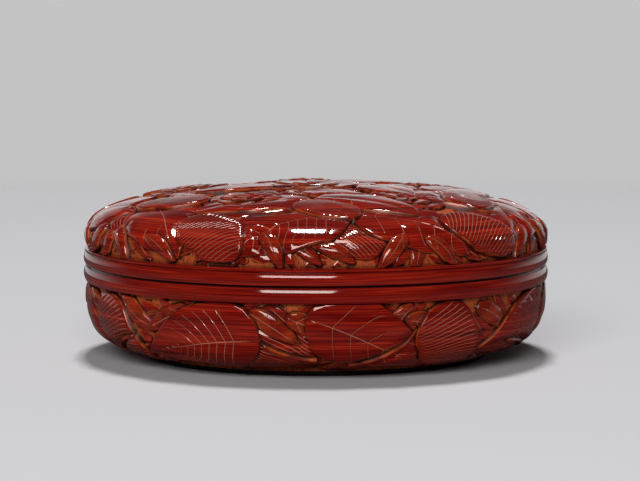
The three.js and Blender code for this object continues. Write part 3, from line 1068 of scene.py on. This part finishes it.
def black_lacquer(colours):
    """Plain black lacquer, brushed on and rubbed: a soft gloss with faint brush marks."""
    material, tree, shader = new_material("black_lacquer_rubbed")
    marks = mottle(tree, place_on(tree), HAND_SCALE, 3.0)
    colour = ramp(tree, marks, [(0.3, colours.black), (0.75, colours.black_worn)])
    tree.links.new(colour, shader.inputs["Base Color"])
    tree.links.new(ramp(tree, marks, [(0.3, 0.16), (0.7, 0.28)]), shader.inputs["Roughness"])
    shader.inputs["IOR"].default_value = BLACK_IOR
    return material


def bentwood(colours):
    """Planed softwood hoops and boards: straight grain about 2 mm wide, dull and pale."""
    material, tree, shader = new_material("planed_softwood")
    grain = mottle(tree, stretched(tree, place_on(tree), GRAIN), 1.0, 4.0)
    colour = ramp(tree, grain, [(0.3, colours.wood_dark), (0.65, colours.wood)])
    tree.links.new(colour, shader.inputs["Base Color"])
    tree.links.new(ramp(tree, grain, [(0.3, 0.55), (0.7, 0.75)]), shader.inputs["Roughness"])
    return material


def coat(piece, material, body, slot, *nodes):
    """Gives a piece its material, its body and the frame nodes that it stands for; the slot is not used.
    """
    piece.data.materials.append(material)
    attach(piece, body)
    if nodes:
        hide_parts(*nodes)


# Operators


class Step(bpy.types.Operator):
    """One step of the box."""

    bl_options = {"REGISTER", "UNDO"}

    def settings(self, context):
        scene = context.scene
        return scene.box_carving, scene.box_colours


class BOX_OT_turned_shells(Step):
    """Spin the two lacquer coats: beads, ledge, groove and the gouged ground of each field"""

    bl_idname = "lacquer_box.turned_shells"
    bl_label = "Turned coats"

    def execute(self, context):
        sizes, colours = self.settings(context)
        lid = turned_lacquer("lid_lacquer_turned", 1, colours)
        base = turned_lacquer("base_lacquer_turned", -1, colours)
        coat(lid_shell(sizes), lid, "lid", "carved_lacquer", "lid_carved_coat")
        coat(base_shell(sizes), base, "base", "carved_lacquer", "base_carved_coat")
        return {"FINISHED"}


class BOX_OT_lid_carving(Step):
    """Carve the lid: broad leaves, ribbed leaves and blossoms from the rim to the pole"""

    bl_idname = "lacquer_box.lid_carving"
    bl_label = "Lid carving"

    def execute(self, context):
        sizes, colours = self.settings(context)
        carving = Carving(Dome(), sizes, sizes.seed)
        edge = LID_SKIN.edge_arc / MM
        pitch = sizes.comb_pitch

        carving.name = "lid_small_leaves"
        for out in range(30, 134, 11):
            count = round(out / 2.6)
            turns = carving.rng.uniform(0, 2 * math.pi, count)
            carving.ring(count, out, 0.4 * out, turns, (-2.2, -2.8, -2.5), (scrap(18, 6), scrap(15, 7)))
        skirt = leaf(25, 8.5, 2, crown=1.2 * MM, columns_between=3, bared=0.038)
        turns = (0.6, 0.85, 1.1, -1.0, -0.75, -0.5)
        carving.ring(50, edge - 9, 0.0, turns, (-0.6, -1.6, -1.0, -1.9), (skirt,))

        carving.name = "lid_broad_leaves"
        big, other = leaf(66, 44, 5), leaf(66, 44, 9)
        middle, inner = leaf(58, 34, 5), leaf(44, 26, 4)
        carving.ring(10, edge - 27, 0.1, (1.0, -0.9), (-1.5, -0.7, -1.1), (big, other))
        carving.ring(8, edge - 60, 0.3, (0.8, -0.85), (-0.5, -1.6, -1.0), (middle,))
        carving.ring(8, 44, 0.2, (0.5, -0.5), (-1.2, -0.6, -1.6), (inner,))
        carving.ring(6, edge - 44, 0.35, (0.9, -1.0, 0.6), (-0.6,), (twig(34, 1.4),))

        carving.name = "lid_ribbed_leaves"
        oval, fan, inner = ribbed(46, 30, pitch), ribbed(38, 31, pitch, skew=-0.3), ribbed(40, 26, pitch)
        carving.ring(10, edge - 18, 0.42, (1.1, -1.0), (-0.5, -1.9), (oval, fan))
        carving.ring(6, edge - 50, 0.6, (0.8, -0.9), (-0.3,), (inner,))

        carving.name = "lid_blossoms"
        carving.blossom(0.0, 0, 32, -0.3)
        for k in range(5):
            carving.blossom(0.4 + k * 2 * math.pi / 5, 66, 22, -0.4)

        carving.dive()
        lacquer = carved_lacquer("lid_lacquer_carved", 1, colours)
        for name in ("lid_small_leaves", "lid_broad_leaves", "lid_ribbed_leaves", "lid_blossoms"):
            coat(carving.piece(name), lacquer, "lid", "carved_lacquer")
        return {"FINISHED"}


class BOX_OT_base_carving(Step):
    """Carve the base: broad and ribbed leaves between the bead and the foot"""

    bl_idname = "lacquer_box.base_carving"
    bl_label = "Base carving"

    def execute(self, context):
        sizes, colours = self.settings(context)
        carving = Carving(Band(), sizes, sizes.seed + 1)
        pitch = sizes.comb_pitch

        carving.name = "base_small_leaves"
        for out in range(5, 58, 9):
            turns = carving.rng.uniform(0, 2 * math.pi, 52)
            carving.ring(52, out, 0.4 * out, turns, (-1.8, -2.5, -2.1), (scrap(18, 6), scrap(15, 7)))
        small = leaf(30, 10, 2, crown=1.1 * MM, columns_between=3, bared=0.05)
        turns = (1.2, 0.9, 1.1, -1.1, -0.8)
        carving.ring(36, 11, 0.0, turns, (-0.7, -1.4, -1.0), (small,))

        carving.name = "base_broad_leaves"
        big = leaf(80, 41, 6, outline=(0.62, 1.3))
        other = leaf(76, 42, 11, outline=(0.55, 1.25), line_end=(0.95, 1.0))
        carving.ring(12, 44, 0.1, (1.0, -0.9), (-1.1, -0.6, -1.4), (leaf(48, 21, 4, outline=(0.6, 1.2)),))
        carving.ring(8, 24, 0.2, (1.2, -1.25), (-0.2, -0.8, 0.0), (big, other))
        carving.ring(14, 28, 0.5, (1.2, -1.0, 0.8), (-0.1,), (twig(42, 1.7), twig(32, 1.5)))

        carving.name = "base_ribbed_leaves"
        oval = ribbed(52, 36, pitch, outline=(0.5, 0.8))
        fan = ribbed(44, 38, pitch, skew=-0.3, outline=(0.4, 0.8))
        carving.ring(8, 27, 0.55, (0.7, -0.6), (0.1, -0.5, -1.0), (oval, fan))

        carving.dive()
        lacquer = carved_lacquer("base_lacquer_carved", -1, colours)
        for name in ("base_small_leaves", "base_broad_leaves", "base_ribbed_leaves"):
            coat(carving.piece(name), lacquer, "base", "carved_lacquer")
        return {"FINISHED"}


def lining_points(low, high, wall, powers, up, rim):
    """The closed section of a lining: its outer face to the axis and its inner face back."""
    outer = list(zip(*superellipse(low, wall, high - wall, powers, LINING_STEPS)))
    inner = list(zip(*superellipse(low - LINING, wall, high - LINING - wall, powers, LINING_STEPS)))
    section = [(low, rim)] + outer[::-1] + inner + [(low - LINING, rim)]
    return flat_points([(r, SEAM_Z + up * h) for r, h in section])


def softened(points, ease):
    """A closed section with each corner turned by a small round."""
    corners = []
    count = len(points)
    for k in range(count):
        before, here, after = (Vector(points[(k + d) % count]) for d in (-1, 0, 1))
        start = here + (before - here).normalized() * ease
        end = here + (after - here).normalized() * ease
        for t in np.linspace(0, 1, 4):
            corners.append((start * (1 - t) + here * t) * (1 - t) + (here * (1 - t) + end * t) * t)
    return [(c.x, c.y, 0.0) for c in corners]


def hoop_points(low, high, bore):
    """The section of a plain hoop with softened corners."""
    section = [(bore, low.z), (high.x, low.z), (high.x, high.z), (bore, high.z)]
    return softened(section, HOOP_EASE)


class BOX_OT_plain_parts(Step):
    """Spin the black lacquered linings, collar, foot and underside, and finish the wooden core"""

    bl_idname = "lacquer_box.plain_parts"
    bl_label = "Lining, collar, foot and core"

    def execute(self, context):
        _, colours = self.settings(context)
        black, wood = black_lacquer(colours), bentwood(colours)
        lid_height = LID_LINING_HIGH.z - SEAM_Z
        base_depth = SEAM_Z - BASE_LINING_LOW.z
        base_rim = SEAM_Z - BASE_LINING_HIGH.z
        lid_lining = lining_points(
            LID_LINING_HIGH.x, lid_height, LID_SPRING, LID_POWERS, 1, SEAM_GAP
        )
        base_lining = lining_points(
            BASE_LINING_HIGH.x, base_depth, BASE_SPRING, BASE_POWERS, -1, base_rim
        )
        collar = hoop_points(COLLAR_LOW, COLLAR_HIGH, COLLAR_HIGH.x - COLLAR_WALL)
        foot = hoop_points(FOOT_LOW, FOOT_HIGH, FOOT_HIGH.x - FOOT_WALL)
        under = flat_points([(0, UNDERSIDE_LOW.z), (UNDERSIDE_HIGH.x, UNDERSIDE_LOW.z)])
        under += flat_points([(UNDERSIDE_HIGH.x, UNDERSIDE_HIGH.z), (0, UNDERSIDE_HIGH.z)])
        for name, node_name, outline, body in (
            ("lid_black_lining", "lid_lining", lid_lining, "lid"),
            ("base_black_lining", "base_lining", base_lining, "base"),
            ("collar_ring", "collar_hoop", collar, "base"),
            ("foot_ring", "foot_hoop", foot, "base"),
            ("underside_lacquer", "underside_coat", under, "base"),
        ):
            coat(spun(name, outline, PLAIN_AROUND), black, body, "black_lacquer", node_name)
        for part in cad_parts.values():
            if not part.hide_render:
                part.data.materials.clear()
                part.data.materials.append(wood)
        return {"FINISHED"}


class BOX_OT_stage(Step):
    """Set the pale floor, the lamps, the world and the camera"""

    bl_idname = "lacquer_box.stage"
    bl_label = "Stage"

    def execute(self, context):
        stage = context.scene.box_stage
        make_floor(stage)
        make_world(context.scene, stage)
        for lamp in LAMPS:
            make_lamp(*lamp)
        make_camera(context.scene, stage)
        context.scene.view_settings.view_transform = "Standard"
        return {"FINISHED"}


# The floor is solid round a middle a little behind the box, and fades out further away
FLOOR_RADIUS = 3.0
FLOOR_MIDDLE = (0.0, 0.3, 0.0)
FLOOR_SOLID = 0.7
FLOOR_GONE = 1.1
# Where the floor's reflection fades to painted black in front of the box, and how much dimmer it is
# painted nearer the box
MIRROR_FADE = (-0.36, -0.16)
MIRROR_DIM = 0.85
MIRROR_DARK = (0.01, 0.01, 0.01, 1.0)
# The pale sweep that lights the box from behind: its fall with height and its share behind
SWEEP_HEIGHT = (0.08, 0.44)
SWEEP_BEHIND = (0.15, 0.8)
SWEEP_LEVEL = 0.72
ROOM_LEVEL = 0.04
# Name, azimuth and elevation in degrees, distance and size in metres, and watts
LAMPS = (
    ("overhead_softbox", 180, 78.5, 4.0, (0.6, 0.7), 138),
    ("front_softbox", -9, 26, 3.2, (1.9, 1.2), 82),
)
# The box stands a little left of the picture's middle and low in it
CAMERA_SHIFT = (0.0066, 0.0338)


def make_floor(stage):
    bm = bmesh.new()
    bmesh.ops.create_circle(bm, cap_ends=True, segments=128, radius=FLOOR_RADIUS)
    floor = finished("floor", bm)
    material, tree, shader = new_material("pale_floor")
    shader.inputs["Roughness"].default_value = 0.9
    shader.inputs["Specular IOR Level"].default_value = 0.0
    place = place_on(tree)
    away = node(tree, "ShaderNodeVectorMath", {0: place, 1: FLOOR_MIDDLE}, operation="DISTANCE")
    fade = eased(tree, away.outputs["Value"], FLOOR_SOLID, FLOOR_GONE)
    # Painted reflection: polished surfaces see the floor painted much darker than the camera sees it,
    # nearly black in front of the box
    forward = node(tree, "ShaderNodeSeparateXYZ", {"Vector": place}).outputs["Y"]
    glossy = node(tree, "ShaderNodeLightPath").outputs["Is Glossy Ray"]
    mirrored = sums(tree, "MULTIPLY", glossy, eased(tree, forward, *MIRROR_FADE, 1.0, MIRROR_DIM))
    tone = mixed(tree, mirrored, rgba(stage.floor), MIRROR_DARK)
    tree.links.new(tone, shader.inputs["Base Color"])
    clear = node(tree, "ShaderNodeBsdfTransparent")
    blend = node(
        tree, "ShaderNodeMixShader", {0: fade, 1: shader.outputs[0], 2: clear.outputs[0]}
    )
    output = next(n for n in tree.nodes if n.type == "OUTPUT_MATERIAL")
    tree.links.new(blend.outputs[0], output.inputs["Surface"])
    floor.data.materials.append(material)


def make_world(scene, stage):
    world = bpy.data.worlds.new("studio")
    scene.world = world
    world.use_nodes = True
    tree = world.node_tree
    tree.nodes.clear()
    direction = node(tree, "ShaderNodeTexCoord").outputs["Generated"]
    parts = node(tree, "ShaderNodeSeparateXYZ", {"Vector": direction}).outputs
    # A pale sweep behind the box, dim above it and in front
    low = eased(tree, parts["Z"], *SWEEP_HEIGHT, 1.0, 0.0)
    behind = eased(tree, parts["Y"], *SWEEP_BEHIND, 0.0, SWEEP_LEVEL)
    level = sums(tree, "MULTIPLY_ADD", low, behind, ROOM_LEVEL)
    room = node(tree, "ShaderNodeBackground", {"Color": (1, 1, 1, 1), "Strength": level})
    seen = node(tree, "ShaderNodeBackground", {"Color": rgba(stage.backdrop), "Strength": 1.0})
    camera = node(tree, "ShaderNodeLightPath").outputs["Is Camera Ray"]
    mix = node(tree, "ShaderNodeMixShader", {0: camera, 1: room.outputs[0], 2: seen.outputs[0]})
    node(tree, "ShaderNodeOutputWorld", {"Surface": mix.outputs[0]})


def make_lamp(name, azimuth, elevation, distance, size, watts):
    """A softbox at a distance, aimed at the box. Azimuth 0 is in front and 90 at the right."""
    data = bpy.data.lights.new(name, "AREA")
    data.shape = "RECTANGLE"
    data.size, data.size_y = size
    data.energy = watts
    source = bpy.data.objects.new(name, data)
    bpy.context.scene.collection.objects.link(source)
    a, e = math.radians(azimuth), math.radians(elevation)
    back = Vector((math.sin(a) * math.cos(e), -math.cos(a) * math.cos(e), math.sin(e)))
    source.location = Vector((0, 0, SEAM_Z)) + back * distance
    source.rotation_euler = back.to_track_quat("Z", "Y").to_euler()
    source.visible_camera = False


def make_camera(scene, stage):
    data = bpy.data.cameras.new("camera")
    data.lens, data.sensor_width = stage.lens, 36
    data.shift_x, data.shift_y = CAMERA_SHIFT
    camera = bpy.data.objects.new("camera", data)
    scene.collection.objects.link(camera)
    back = Vector((0, -math.cos(stage.elevation), math.sin(stage.elevation)))
    camera.location = Vector((0, 0, SEAM_Z)) + back * stage.distance
    camera.rotation_euler = back.to_track_quat("Z", "Y").to_euler()
    scene.camera = camera


class BOX_PT_panel(bpy.types.Panel):
    """The box's steps and settings."""

    bl_label = "Lacquer box"
    bl_space_type = "VIEW_3D"
    bl_region_type = "UI"
    bl_category = "Lacquer Box"

    def draw(self, context):
        for step in STEPS:
            self.layout.operator(step.bl_idname)
        for group in (context.scene.box_carving, context.scene.box_colours, context.scene.box_stage):
            column = self.layout.column()
            for key in group.__annotations__:
                column.prop(group, key)


STEPS = (
    BOX_OT_turned_shells,
    BOX_OT_lid_carving,
    BOX_OT_base_carving,
    BOX_OT_plain_parts,
    BOX_OT_stage,
)
GROUPS = {"box_carving": CarvingSizes, "box_colours": LacquerColours, "box_stage": StageSettings}


def register():
    for kind in (*GROUPS.values(), *STEPS, BOX_PT_panel):
        bpy.utils.register_class(kind)
    for key, kind in GROUPS.items():
        setattr(bpy.types.Scene, key, PointerProperty(type=kind))


def unregister():
    for key in GROUPS:
        delattr(bpy.types.Scene, key)
    for kind in (BOX_PT_panel, *reversed(STEPS), *reversed(GROUPS.values())):
        bpy.utils.unregister_class(kind)


def main():
    register()
    bpy.ops.lacquer_box.turned_shells()
    bpy.ops.lacquer_box.lid_carving()
    bpy.ops.lacquer_box.base_carving()
    bpy.ops.lacquer_box.plain_parts()
    bpy.ops.lacquer_box.stage()


if __name__ == "__main__":
    main()
